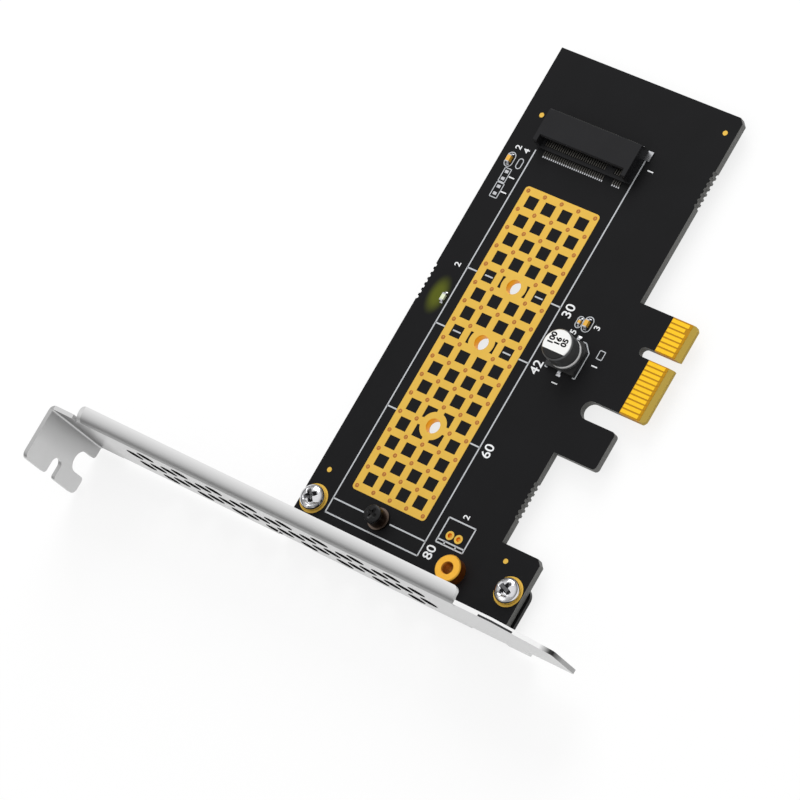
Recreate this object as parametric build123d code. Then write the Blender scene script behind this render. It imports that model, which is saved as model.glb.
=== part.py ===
from build123d import *
import math
import os

# An adapter card that carries one flat memory module beside its board and plugs
# into a short card-edge slot. Millimetres throughout.
# Origin: centre of the key notch, at the tip of the contact tongue, middle of the board.
# +Y runs from the contacts to the top edge, +Z is the component side,
# and -X points at the metal bracket.

# Circuit board
BOARD_T = 1.57
BOARD_REAR_X = 47.5
BOARD_FRONT_X = -56.9
BOARD_TOP_Y = 56.9
SHOULDER_Y = 13.5
EAR_LOW_Y = 4.05
EAR_END_X = -42.6
HOOK_X = (-23.65, -15.8)
TONGUE_X = (-12.15, 8.15)
TONGUE_BEVEL = 1.1
TONGUE_BEVEL_ANGLE = 20.0
TONGUE_CORNER = 0.6
SLOT_ROOT_Y = 13.1
NOTCH_W = 1.9
NOTCH_DEPTH = 8.45
EAR_CORNER = 1.0
HOOK_CORNER = 0.8
REAR_CORNER = 1.0
BITE_D = 0.7
BITE_PITCH = 1.15
BITE_COUNT = 7
BITE_TOP_X = -4.1
BITE_STEP_X = -33.85
BITE_REAR_X = 32.4

# Copper
COPPER_T = 0.05
CONTACT_PITCH = 1.0
CONTACT_W = 0.7
CONTACT_TOP_Y = 5.6
FIRST_CONTACT_X = -11.5
CONTACTS_BEFORE_KEY = 11
CONTACTS_AFTER_KEY = 7
KEY_STEP = 3.0
SHORT_CONTACT_CUT = 1.0
FRONT_SHORT_PIN = 16
BACK_SHORT_PIN = 0

# Module bay: the copper grid under the module and its screw positions
BAY_Y = 39.1
MODULE_SEAT_X = 31.4
SCREW_REACH = (30.0, 42.0, 60.0, 80.0)
GRID_PITCH = 4.0
GRID_COLUMNS = 16
GRID_ROWS = 4
GRID_FIRST_X = 19.4
GRID_RIM = 0.85
GRID_CORNER = 0.8
WINDOW = 2.45
MODULE_HOLE_D = 3.0
MODULE_PAD_D = 5.6

# Module socket
SOCKET_REAR_X = 34.95
SOCKET_JAW_X = 29.3
SOCKET_LIP_X = 27.6
SOCKET_END_WALL = 1.7
SOCKET_KEY_W = 1.1
SOCKET_H = 3.2
SOCKET_ARM_W = 0.95
SOCKET_FLOOR = 1.05
SOCKET_SLOT_H = 1.15
SOCKET_SLOT_DEPTH = 4.2
SOCKET_EDGE = 0.25
SOCKET_ARM_SETBACK = 0.3
PIN_PITCH = 0.5
PIN_W = 0.22
PIN_T = 0.15
PIN_CLEAR = 0.04
PIN_POSITION_COUNT = 75
KEYED_POSITIONS = (59, 66)
PIN_TAIL = 1.0
BACK_TAIL = 0.45
LIP_WALL = 0.7
PIN_REACH = 2.6
PIN_BITE = 0.12
LOCK_SIZE = (2.0, 1.2)
LOCK_T = 0.3
LOCK_SETBACK = 0.8

# Standoffs and the module screw
POST_D = 3.6
POST_BASE_D = 4.4
POST_BASE_T = 0.4
POST_H = 2.4
POST_SPIGOT_D = 2.6
POST_SPIGOT_L = 1.2
POST_BORE_D = 2.0
MODULE_SCREW_HEAD_D = 3.6
MODULE_SCREW_HEAD_H = 0.8
MODULE_SCREW_L = 2.2
BRASS_POS = (-51.5, 19.5)
BRASS_D = 5.3
BRASS_H = 2.3
BRASS_BORE_D = 2.5
BRASS_SPIGOT_D = 3.6
BRASS_CHAMFER = 0.2
SPIGOT_CLEAR = 0.05
THREAD_CLEAR = 0.02

# Bracket, one folded sheet
SHEET = 0.86
PLATE_X = -58.8
PLATE_W = 18.42
BRACKET_L = 120.02
TIP_Y = -14.52
TAB_L = 11.43
TAB_W = 19.1
TAB_STEP_DROP = 6.8
TAB_INNER_R = 0.4
TAB_OUTER_CORNER = 1.4
TAB_LOBE_CORNER = 0.8
TAB_SLOT_W = 3.2
TAB_SLOT_DEPTH = 3.8
TAB_SLOT_IN = 9.5
TAB_SLOT_END_R = 1.3
TAB_NOTCH_W = 4.3
TAB_NOTCH_DEPTH = 5.6
TAB_NOTCH_OUT = 5.8
PLATE_END_Y = -2.7
TIP_W = 10.19
TIP_INSET = 4.11
TIP_CORNER = 0.8
FLANGE_LOW_Y = 6.6
FLANGE_OVER_STEP = 0.5
FLANGE_REACH = 3.2
FLANGE_R = 1.75
FLANGE_CORNER = 1.1
RELIEF = 0.6
LUG_Y = (7.1, 54.0)
LUG_W = 7.4
LUG_REACH = 11.0
LUG_R = 1.2
LUG_CORNER = 2.2
VENT_D = 3.7
VENT_ROW_STEP = 2.7
VENT_ROWS = 5
VENT_LOW = 3.0
VENT_TOP_MARGIN = 10.55
VENT_END_MARGIN = 21.25
VENT_WIDE_COUNT = 9

# Bracket screws
SCREW_X = -50.3
SCREW_D = 3.0
SCREW_HOLE_D = 3.3
SCREW_PAD_D = 5.9
SCREW_HEAD_D = 5.0
SCREW_HEAD_H = 1.9
SCREW_HEAD_EDGE = 0.7
SCREW_L = 4.0
SCREW_TIP = 0.4

# Electrolytic capacitor
CAP_POS = (-6.3, 21.0)
CAN_D = 6.3
CAN_TOP = 5.7
CAN_EDGE = 0.35
CAN_GROOVE = 0.35
CAN_GROOVE_AT = 0.9
CAN_GROOVE_W = 0.6
PLINTH = 6.6
PLINTH_T = 0.9
PLINTH_CHAMFER = 1.5
CAP_LEAD_SPAN = 7.6
CAP_LEAD_W = 0.7
CAP_LEAD_L = 1.9
CAP_LEAD_T = 0.2
LEAD_CLEAR = 0.03

# Small parts: centre, length along X, width, height
CERAMICS = (
    (0.5, 21.0, 1.6, 0.8, 0.8),
    (0.3, 22.6, 1.0, 0.5, 0.5),
    (23.6, 54.3, 1.6, 0.8, 0.8),
)
CERAMIC_END = 0.22
LED_POS = (-5.7, 51.5)
LED_SIZE = (1.6, 0.8, 0.55)
LED_END = 0.3
EMPTY_SITES = ((20.4, 53.5), (17.2, 53.4))
EMPTY_PAD = (0.6, 0.8)
EMPTY_SPAN = 1.5
HEADER_X = -45.65
HEADER_Y = (23.9, 21.9)
HEADER_PAD_D = 1.75
HEADER_HOLE_D = 0.95
FIDUCIAL_POS = ((43.7, 15.8), (33.8, 53.1), (-44.2, 54.2), (-45.5, 10.8))
FIDUCIAL_D = 1.0

FRONT_Z = BOARD_T / 2
BACK_Z = -BOARD_T / 2
PLATE_IN_X = PLATE_X + SHEET
PLATE_LOW_Z = BACK_Z - SHEET
PLATE_HIGH_Z = PLATE_LOW_Z + PLATE_W
TAB_TOP_Y = TIP_Y + BRACKET_L
TAB_STEP_Y = TAB_TOP_Y - TAB_STEP_DROP
SOCKET_W = (PIN_POSITION_COUNT - 1) * PIN_PITCH / 2 + 2 * SOCKET_END_WALL


def box(x, y, z):
    """Solid between three (low, high) pairs."""
    size = (x[1] - x[0], y[1] - y[0], z[1] - z[0])
    middle = ((x[0] + x[1]) / 2, (y[0] + y[1]) / 2, (z[0] + z[1]) / 2)
    return Pos(*middle) * Box(*size)


def rod(x, y, z, diameter):
    """Upright cylinder at (x, y) between a (low, high) pair of heights."""
    return Pos(x, y, (z[0] + z[1]) / 2) * Cylinder(diameter / 2, z[1] - z[0])


def rect(x, y):
    """Flat rectangle between two (low, high) pairs."""
    return Pos((x[0] + x[1]) / 2, (y[0] + y[1]) / 2) * Rectangle(x[1] - x[0], y[1] - y[0])


def corners(sketch, *points):
    """Vertices of a sketch that lie nearest to the given points."""
    return [
        min(sketch.vertices(), key=lambda v: math.hypot(v.X - x, v.Y - y)) for x, y in points
    ]


def screw_points():
    """Centres of the module screw positions, nearest the socket first."""
    return [(MODULE_SEAT_X - reach, BAY_Y) for reach in SCREW_REACH]


def grid_x():
    """Lowest and highest X of the grid's lattice points."""
    return GRID_FIRST_X - GRID_COLUMNS * GRID_PITCH, GRID_FIRST_X


def grid_y():
    """Lowest and highest Y of the grid's lattice points."""
    half = GRID_ROWS * GRID_PITCH / 2
    return BAY_Y - half, BAY_Y + half


def contact_x():
    """X of each edge contact, counted from the bracket."""
    near = [FIRST_CONTACT_X + i * CONTACT_PITCH for i in range(CONTACTS_BEFORE_KEY)]
    far = [near[-1] + KEY_STEP + i * CONTACT_PITCH for i in range(CONTACTS_AFTER_KEY)]
    return near + far


def board_outline():
    """Flat outline: body, contact tongue, hook and the ear beside the bracket."""
    slot_w = TONGUE_X[0] - HOOK_X[1]
    slot_x = (TONGUE_X[0] + HOOK_X[1]) / 2
    root_y = SLOT_ROOT_Y - slot_w / 2
    shape = rect((BOARD_FRONT_X, BOARD_REAR_X), (SHOULDER_Y, BOARD_TOP_Y))
    shape += rect(TONGUE_X, (0, SHOULDER_Y))
    shape += rect(HOOK_X, (EAR_LOW_Y, SHOULDER_Y))
    shape += rect((BOARD_FRONT_X, EAR_END_X), (EAR_LOW_Y, SHOULDER_Y))
    shape += rect((HOOK_X[1], TONGUE_X[0]), (root_y, SHOULDER_Y))
    shape -= Pos(slot_x, root_y) * Circle(slot_w / 2)
    notch_root = NOTCH_DEPTH - NOTCH_W / 2
    shape -= rect((-NOTCH_W / 2, NOTCH_W / 2), (-1, notch_root))
    shape -= Pos(0, notch_root) * Circle(NOTCH_W / 2)
    ear = corners(shape, (EAR_END_X, EAR_LOW_Y), (BOARD_FRONT_X, BOARD_TOP_Y))
    shape = chamfer(ear, EAR_CORNER)
    tip = corners(shape, (TONGUE_X[0], 0), (TONGUE_X[1], 0))
    shape = chamfer(tip, TONGUE_CORNER)
    hook = corners(shape, (HOOK_X[1], EAR_LOW_Y), (HOOK_X[0], EAR_LOW_Y))
    shape = fillet(hook, HOOK_CORNER)
    return chamfer(corners(shape, (BOARD_REAR_X, SHOULDER_Y)), REAR_CORNER)


def break_off_bites():
    """Rows of half-round bites left where the board was snapped from its panel."""
    rows = ((BITE_TOP_X, BOARD_TOP_Y), (BITE_STEP_X, SHOULDER_Y), (BITE_REAR_X, SHOULDER_Y))
    first = -(BITE_COUNT - 1) / 2 * BITE_PITCH
    return [
        Pos(middle + first + i * BITE_PITCH, y) * Circle(BITE_D / 2)
        for middle, y in rows
        for i in range(BITE_COUNT)
    ]


def circuit_board():
    """Laminate with its holes, its snapped edges and its bevelled tongue."""
    shape = board_outline()
    for bite in break_off_bites():
        shape -= bite
    holes = [(x, y, MODULE_HOLE_D) for x, y in screw_points()[:-1]]
    holes.append((*screw_points()[-1], POST_SPIGOT_D + 2 * SPIGOT_CLEAR))
    holes.append((*BRASS_POS, BRASS_SPIGOT_D + 2 * SPIGOT_CLEAR))
    holes += [(SCREW_X, y, SCREW_HOLE_D) for y in LUG_Y]
    holes += [(HEADER_X, y, HEADER_HOLE_D) for y in HEADER_Y]
    for x, y, diameter in holes:
        shape -= Pos(x, y) * Circle(diameter / 2)
    board = Pos(0, 0, BACK_Z) * extrude(shape, BOARD_T)
    drop = TONGUE_BEVEL * math.tan(math.radians(TONGUE_BEVEL_ANGLE))
    reach = 2 * TONGUE_BEVEL
    wedge = Polyline(
        (TONGUE_BEVEL, FRONT_Z),
        (TONGUE_BEVEL - reach, FRONT_Z - 2 * drop),
        (TONGUE_BEVEL - reach, FRONT_Z + drop),
        (TONGUE_BEVEL, FRONT_Z + drop),
        close=True,
    )
    run = TONGUE_X[1] - TONGUE_X[0] + 2 * TONGUE_CORNER
    start = Plane.YZ.offset(TONGUE_X[0] - TONGUE_CORNER)
    cut = extrude(start * make_face(wedge), run)
    return board - cut - mirror(cut, Plane.XY)


def contact_row(low_z, short_pin):
    """Edge contacts of one side, bottom face at low_z, one of them shorter."""
    row = []
    for i, x in enumerate(contact_x()):
        low_y = TONGUE_BEVEL + (SHORT_CONTACT_CUT if i == short_pin else 0)
        sides = (x - CONTACT_W / 2, x + CONTACT_W / 2)
        row.append(box(sides, (low_y, CONTACT_TOP_Y), (low_z, low_z + COPPER_T)))
    return row


def heat_grid():
    """Bare copper under the module, open in square windows, with screw pads."""
    (low_x, high_x), (low_y, high_y) = grid_x(), grid_y()
    outer = rect((low_x - GRID_RIM, high_x + GRID_RIM), (low_y - GRID_RIM, high_y + GRID_RIM))
    sheet = fillet(outer.vertices(), GRID_CORNER)
    middle = Pos((low_x + high_x) / 2, (low_y + high_y) / 2)
    windows = GridLocations(GRID_PITCH, GRID_PITCH, GRID_COLUMNS, GRID_ROWS)
    sheet -= [middle * at * Rectangle(WINDOW, WINDOW) for at in windows]
    for x, y in screw_points()[:-1]:
        sheet += Pos(x, y) * Circle(MODULE_PAD_D / 2)
    for x, y in screw_points()[:-1]:
        sheet -= Pos(x, y) * Circle(MODULE_HOLE_D / 2)
    return Pos(0, 0, FRONT_Z) * extrude(sheet, COPPER_T)


def ring_pads(points, outer, inner):
    """Flat copper rings round holes, on the component side."""
    heights = (FRONT_Z, FRONT_Z + COPPER_T)
    return [rod(x, y, heights, outer) - rod(x, y, heights, inner) for x, y in points]


def fiducial_pads():
    """Round copper marks that the placing machine reads."""
    return [rod(x, y, (FRONT_Z, FRONT_Z + COPPER_T), FIDUCIAL_D) for x, y in FIDUCIAL_POS]


def empty_site_pads():
    """Tinned pads of the small parts that are not fitted."""
    sides = [(x + way * EMPTY_SPAN / 2, y) for x, y in EMPTY_SITES for way in (-1, 1)]
    middle_z = FRONT_Z + COPPER_T / 2
    return [Pos(x, y, middle_z) * Box(*EMPTY_PAD, COPPER_T) for x, y in sides]


def pin_y(position):
    """Y of one numbered pin position; the odd ones are above, the even ones below."""
    return BAY_Y + ((PIN_POSITION_COUNT + 1) / 2 - position) * PIN_PITCH / 2


def pin_row(first):
    """Y of every pin of one row, counted from its first position."""
    low, high = KEYED_POSITIONS
    positions = range(first, PIN_POSITION_COUNT + 1, 2)
    return [pin_y(position) for position in positions if not low <= position <= high]


def pin_troughs():
    """Low and high Y of the room for the short group of pins and for the long group."""
    room = PIN_W / 2 + PIN_CLEAR
    low, high = KEYED_POSITIONS
    short = (pin_y(PIN_POSITION_COUNT) - room, pin_y(high + 1) + room)
    return short, (pin_y(low - 1) - room, pin_y(1) + room)


def key_wall():
    """Low and high Y of the wall that fills the module's key notch."""
    middle = (pin_y(KEYED_POSITIONS[0]) + pin_y(KEYED_POSITIONS[1])) / 2
    return middle - SOCKET_KEY_W / 2, middle + SOCKET_KEY_W / 2


def socket_levels():
    """Heights of the slot's floor and of its ceiling."""
    floor = FRONT_Z + SOCKET_FLOOR
    return floor, floor + SOCKET_SLOT_H


def socket_housing():
    """Moulded socket: two jaws, a lower lip in front and an arm at each end."""
    y = (BAY_Y - SOCKET_W / 2, BAY_Y + SOCKET_W / 2)
    floor, ceiling = socket_levels()
    top = FRONT_Z + SOCKET_H
    body = box((SOCKET_JAW_X, SOCKET_REAR_X), y, (FRONT_Z, top))
    body += box((SOCKET_LIP_X, SOCKET_JAW_X), y, (FRONT_Z, floor))
    arm_x = (SOCKET_LIP_X + SOCKET_ARM_SETBACK, SOCKET_JAW_X)
    body += box(arm_x, (y[0], y[0] + SOCKET_ARM_W), (FRONT_Z, top))
    body += box(arm_x, (y[1] - SOCKET_ARM_W, y[1]), (FRONT_Z, top))
    body = chamfer(body.edges().filter_by(Axis.Y).group_by(Axis.Z)[-1], SOCKET_EDGE)
    depth = (SOCKET_JAW_X - SOCKET_EDGE, SOCKET_JAW_X + SOCKET_SLOT_DEPTH)
    wall = key_wall()
    bays = ((y[0] + SOCKET_ARM_W, wall[0]), (wall[1], y[1] - SOCKET_ARM_W))
    for bay in bays:
        body -= box(depth, bay, (floor, ceiling))
    step = PIN_T + 2 * PIN_CLEAR
    for group in pin_troughs():
        inner_x = (SOCKET_LIP_X + LIP_WALL, SOCKET_JAW_X + PIN_REACH + PIN_CLEAR)
        body -= box(inner_x, group, (FRONT_Z, floor))
        body -= box((SOCKET_LIP_X, inner_x[0]), group, (FRONT_Z, FRONT_Z + step))
        body -= box((inner_x[0], SOCKET_REAR_X), group, (ceiling, ceiling + step))
    return body


def strip(points, y):
    """Bent strip of one pin: a side outline in X and Z, one pin wide, centred at y."""
    side = make_face(Polyline(*points, close=True))
    return extrude(Plane.XZ.offset(-y - PIN_W / 2) * side, PIN_W)


def lower_pins():
    """Pins under the module: a tail in front, a riser and a finger in the slot's floor."""
    floor = socket_levels()[0]
    tail = SOCKET_LIP_X - PIN_TAIL
    riser = SOCKET_LIP_X + LIP_WALL + PIN_CLEAR
    end = SOCKET_JAW_X + PIN_REACH
    high = floor + PIN_BITE
    points = (
        (tail, FRONT_Z),
        (riser + PIN_T, FRONT_Z),
        (riser + PIN_T, high - PIN_T),
        (end, high - PIN_T),
        (end, high),
        (riser, high),
        (riser, FRONT_Z + PIN_T),
        (tail, FRONT_Z + PIN_T),
    )
    return [strip(points, y) for y in pin_row(2)]


def upper_pins():
    """Pins over the module: a finger under the upper jaw, down the back to a tail."""
    ceiling = socket_levels()[1]
    tip = SOCKET_JAW_X + PIN_REACH
    back = SOCKET_REAR_X + PIN_CLEAR
    low = ceiling + PIN_CLEAR
    points = (
        (back + BACK_TAIL, FRONT_Z),
        (back + BACK_TAIL, FRONT_Z + PIN_T),
        (back + PIN_T, FRONT_Z + PIN_T),
        (back + PIN_T, low + PIN_T),
        (tip, low + PIN_T),
        (tip, low),
        (back, low),
        (back, FRONT_Z),
    )
    return [strip(points, y) for y in pin_row(1)]


def socket_locks():
    """Solder tabs that hold the two ends of the socket to the board."""
    middle = SOCKET_REAR_X - LOCK_SETBACK
    x = (middle - LOCK_SIZE[0] / 2, middle + LOCK_SIZE[0] / 2)
    z = (FRONT_Z, FRONT_Z + LOCK_T)
    low, high = BAY_Y - SOCKET_W / 2, BAY_Y + SOCKET_W / 2
    return [box(x, (low - LOCK_SIZE[1], low), z), box(x, (high, high + LOCK_SIZE[1]), z)]


def module_post():
    """Solder-in standoff that carries the far end of the longest module."""
    x, y = screw_points()[-1]
    top = FRONT_Z + POST_H
    post = rod(x, y, (FRONT_Z, top), POST_D)
    post += rod(x, y, (FRONT_Z, FRONT_Z + POST_BASE_T), POST_BASE_D)
    post += rod(x, y, (FRONT_Z - POST_SPIGOT_L, FRONT_Z), POST_SPIGOT_D)
    return post - rod(x, y, (FRONT_Z - POST_SPIGOT_L, top), POST_BORE_D)


def module_screw():
    """Low-headed screw that waits in the standoff for a module."""
    x, y = screw_points()[-1]
    seat = FRONT_Z + POST_H
    head = rod(x, y, (seat, seat + MODULE_SCREW_HEAD_H), MODULE_SCREW_HEAD_D)
    head = fillet(head.edges().group_by(Axis.Z)[-1], MODULE_SCREW_HEAD_H / 4)
    shank = rod(x, y, (seat - MODULE_SCREW_L, seat), POST_BORE_D - 2 * THREAD_CLEAR)
    return head + shank


def brass_post():
    """Turned brass standoff beside the bracket, threaded right through."""
    x, y = BRASS_POS
    top = FRONT_Z + BRASS_H
    post = rod(x, y, (FRONT_Z, top), BRASS_D)
    post = chamfer(post.edges().group_by(Axis.Z)[-1], BRASS_CHAMFER)
    post += rod(x, y, (BACK_Z, FRONT_Z), BRASS_SPIGOT_D)
    return post - rod(x, y, (BACK_Z, top), BRASS_BORE_D)


def bracket_screws():
    """Pan-head screws that join the board to the bracket's lugs."""
    screws = []
    for y in LUG_Y:
        head = rod(SCREW_X, y, (FRONT_Z + COPPER_T, FRONT_Z + SCREW_HEAD_H), SCREW_HEAD_D)
        head = fillet(head.edges().group_by(Axis.Z)[-1], SCREW_HEAD_H - SCREW_HEAD_EDGE)
        tip = FRONT_Z + COPPER_T - SCREW_L
        shank = rod(SCREW_X, y, (tip, FRONT_Z + COPPER_T), SCREW_D)
        shank = chamfer(shank.edges().group_by(Axis.Z)[0], SCREW_TIP)
        screws.append(head + shank)
    return screws


def folded_leg(y, edge_z, way, reach, bend_r):
    """Leg folded towards the board along one long edge of the plate.

    The leg's outer face lies at edge_z; way is 1 at the plate's high edge
    and -1 at its low edge. bend_r is the bend's outer radius.
    """
    middle = (PLATE_X + bend_r, edge_z - way * bend_r)
    ring = Circle(bend_r) - Circle(bend_r - SHEET)
    quarter = rect((-bend_r, 0), (0, bend_r) if way > 0 else (-bend_r, 0))
    side = Pos(*middle) * (ring & quarter)
    leg_z = (edge_z - SHEET, edge_z) if way > 0 else (edge_z, edge_z + SHEET)
    side += rect((middle[0], PLATE_X + reach), leg_z)
    return extrude(Plane.XZ.offset(-y[1]) * side, y[1] - y[0])


def round_leg(leg, radius):
    """Rounds the two free corners of a folded leg."""
    upright = leg.edges().filter_by(Axis.Z)
    return fillet(upright.group_by(Axis.X)[-1], radius)


def flange_y():
    """Low and high Y of the long flange."""
    return FLANGE_LOW_Y, TAB_STEP_Y + FLANGE_OVER_STEP


def plate():
    """Flat part of the bracket with the narrower tip at its lower end."""
    top = TAB_TOP_Y - SHEET - TAB_INNER_R
    wide = PLATE_HIGH_Z - TAB_W
    tip_low = PLATE_LOW_Z + TIP_INSET
    outline = Polyline(
        (top, wide),
        (top, PLATE_HIGH_Z),
        (PLATE_END_Y, PLATE_HIGH_Z),
        (TIP_Y, tip_low + TIP_W),
        (TIP_Y, tip_low),
        (PLATE_END_Y, tip_low),
        (PLATE_END_Y, PLATE_LOW_Z),
        (TAB_STEP_Y, PLATE_LOW_Z),
        (TAB_STEP_Y, wide),
        close=True,
    )
    flat = make_face(outline)
    flat = fillet(corners(flat, (TIP_Y, tip_low), (TIP_Y, tip_low + TIP_W)), TIP_CORNER)
    flat = fillet(corners(flat, (PLATE_END_Y, PLATE_LOW_Z)), TIP_CORNER)
    high = (PLATE_HIGH_Z - FLANGE_R, PLATE_HIGH_Z + 1)
    low_y, top_y = flange_y()
    flat -= rect((low_y - RELIEF, top_y + RELIEF), high)
    for y in LUG_Y:
        sides = (y - LUG_W / 2 - RELIEF, y + LUG_W / 2 + RELIEF)
        flat -= rect(sides, (PLATE_LOW_Z - 1, PLATE_LOW_Z + LUG_R))
    vent_ends = (PLATE_END_Y + VENT_END_MARGIN, TAB_STEP_Y - VENT_TOP_MARGIN)
    vent_mid = sum(vent_ends) / 2
    pitch = (vent_ends[1] - vent_ends[0]) / (VENT_WIDE_COUNT - 1)
    for row in range(VENT_ROWS):
        count = VENT_WIDE_COUNT - (row + 1) % 2
        first = vent_mid - (count - 1) / 2 * pitch
        z = PLATE_LOW_Z + VENT_LOW + row * VENT_ROW_STEP
        holes = [Pos(first + i * pitch, z) * Circle(VENT_D / 2) for i in range(count)]
        flat -= holes
    return extrude(Plane.YZ.offset(PLATE_X) * flat, SHEET)


def tab():
    """Fold at the top that lies on the chassis, with its screw slot and side notch."""
    low_z = PLATE_HIGH_Z - TAB_W
    inner_x = PLATE_X - TAB_INNER_R
    outer_x = PLATE_IN_X - TAB_L
    slot_z = PLATE_HIGH_Z - TAB_SLOT_IN
    flat = rect((outer_x, inner_x), (low_z, PLATE_HIGH_Z))
    flat = fillet(corners(flat, (outer_x, low_z), (outer_x, PLATE_HIGH_Z)), TAB_OUTER_CORNER)
    slot_x = outer_x + TAB_SLOT_DEPTH
    slot_sides = (slot_z - TAB_SLOT_W / 2, slot_z + TAB_SLOT_W / 2)
    slot = rect((outer_x - 2 * TAB_SLOT_W, slot_x), slot_sides)
    ends = [(slot_x, slot_z - TAB_SLOT_W), (slot_x, slot_z + TAB_SLOT_W)]
    flat -= fillet(corners(slot, *ends), TAB_SLOT_END_R)
    notch_x = outer_x + TAB_NOTCH_OUT
    notch_r = TAB_NOTCH_W / 2
    root_z = low_z + TAB_NOTCH_DEPTH - notch_r
    flat -= rect((notch_x - notch_r, notch_x + notch_r), (low_z - 1, root_z))
    flat -= Pos(notch_x, root_z) * Circle(notch_r)
    lobes = [(outer_x, slot_z - TAB_SLOT_W / 2), (outer_x, slot_z + TAB_SLOT_W / 2)]
    lobes += [(notch_x - notch_r, low_z), (notch_x + notch_r, low_z)]
    flat = fillet(corners(flat, *lobes), TAB_LOBE_CORNER)
    leaf = extrude(Plane.XZ.offset(-TAB_TOP_Y) * flat, SHEET)
    bend_r = TAB_INNER_R + SHEET
    quarter = (Circle(bend_r) - Circle(TAB_INNER_R)) & rect((0, bend_r), (0, bend_r))
    bend = Pos(inner_x, TAB_TOP_Y - bend_r, low_z) * extrude(quarter, TAB_W)
    return leaf + bend


def io_bracket():
    """Vented bracket: one sheet with a tab, a stiffening flange and two lugs."""
    sheet = plate() + tab()
    flange = folded_leg(flange_y(), PLATE_HIGH_Z, 1, FLANGE_REACH, FLANGE_R)
    sheet += round_leg(flange, FLANGE_CORNER)
    for y in LUG_Y:
        sides = (y - LUG_W / 2, y + LUG_W / 2)
        lug = folded_leg(sides, PLATE_LOW_Z, -1, LUG_REACH, LUG_R)
        lug = round_leg(lug, LUG_CORNER)
        hole_d = SCREW_D + 2 * THREAD_CLEAR
        sheet += lug - rod(SCREW_X, y, (PLATE_LOW_Z, BACK_Z), hole_d)
    return sheet


def lead_boxes(clear):
    """The capacitor's two flat leads, grown by a clearance at the sides and above."""
    x, y = CAP_POS
    out, width = CAP_LEAD_SPAN / 2, CAP_LEAD_W / 2 + clear
    z = (FRONT_Z, FRONT_Z + CAP_LEAD_T + clear)
    start = out - CAP_LEAD_L - clear
    return [
        box((x + start, x + out), (y - width, y + width), z),
        box((x - out, x - start), (y - width, y + width), z),
    ]


def capacitor_base():
    """Square plinth under the can, two corners cut to show the polarity."""
    x, y = CAP_POS
    half = PLINTH / 2
    square = Pos(x, y) * Rectangle(PLINTH, PLINTH)
    marks = corners(square, (x + half, y + half), (x + half, y - half))
    base = Pos(0, 0, FRONT_Z) * extrude(chamfer(marks, PLINTH_CHAMFER), PLINTH_T)
    for lead in lead_boxes(LEAD_CLEAR):
        base -= lead
    return base


def capacitor_can():
    """Aluminium can, with the bead rolled in near its foot."""
    r = CAN_D / 2
    foot = PLINTH_T
    bead = foot + CAN_GROOVE_AT
    outline = Polyline(
        (0, foot),
        (r, foot),
        (r, bead),
        (r - CAN_GROOVE, bead + CAN_GROOVE_W / 2),
        (r, bead + CAN_GROOVE_W),
        (r, CAN_TOP - CAN_EDGE),
        (r - CAN_EDGE, CAN_TOP),
        (0, CAN_TOP),
        close=True,
    )
    side = Plane.XZ * make_face(outline)
    return Pos(*CAP_POS, FRONT_Z) * revolve(side, Axis.Z)


def chip(x, y, size, end):
    """Body and two end caps of a chip part that lies along X."""
    length, width, height = size
    z = (FRONT_Z, FRONT_Z + height)
    sides = (y - width / 2, y + width / 2)
    inner, outer = length / 2 - end, length / 2
    body = box((x - inner, x + inner), sides, z)
    ends = [box((x + inner, x + outer), sides, z), box((x - outer, x - inner), sides, z)]
    return body, ends


def main():
    """Builds every piece and writes one STEP file for each."""
    ceramics = [chip(x, y, (l, w, h), CERAMIC_END) for x, y, l, w, h in CERAMICS]
    led_body, led_ends = chip(*LED_POS, LED_SIZE, LED_END)
    pieces = {
        "circuit_board": [circuit_board()],
        "edge_contacts_front": contact_row(FRONT_Z, FRONT_SHORT_PIN),
        "edge_contacts_back": contact_row(BACK_Z - COPPER_T, BACK_SHORT_PIN),
        "heat_grid": [heat_grid()],
        "screw_pads": ring_pads([(SCREW_X, y) for y in LUG_Y], SCREW_PAD_D, SCREW_HOLE_D),
        "header_pads": ring_pads([(HEADER_X, y) for y in HEADER_Y], HEADER_PAD_D, HEADER_HOLE_D),
        "fiducial_pads": fiducial_pads(),
        "empty_site_pads": empty_site_pads(),
        "socket_housing": [socket_housing()],
        "socket_lower_pins": lower_pins(),
        "socket_upper_pins": upper_pins(),
        "socket_solder_tabs": socket_locks(),
        "module_standoff": [module_post()],
        "module_screw": [module_screw()],
        "brass_standoff": [brass_post()],
        "io_bracket": [io_bracket()],
        "bracket_screws": bracket_screws(),
        "capacitor_can": [capacitor_can()],
        "capacitor_base": [capacitor_base()],
        "capacitor_leads": lead_boxes(0),
        "ceramic_capacitor_bodies": [body for body, _ in ceramics],
        "ceramic_capacitor_ends": [end for _, ends in ceramics for end in ends],
        "status_led_body": [led_body],
        "status_led_ends": led_ends,
    }
    os.makedirs("parts", exist_ok=True)
    for name, solids in pieces.items():
        shape = solids[0] if len(solids) == 1 else Compound(children=solids)
        export_step(shape, f"parts/{name}.step")


main()
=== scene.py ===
"""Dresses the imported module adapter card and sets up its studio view.

The CAD nodes carry the shape. This script gives each of them a finish and adds what is
too fine for the solids: printed lines, plated barrels, threads, screw recesses, solder.
Lengths in the classes are millimetres in the part's own frame; meshes are made in metres.
"""

import logging
from dataclasses import dataclass
from enum import Enum

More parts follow.
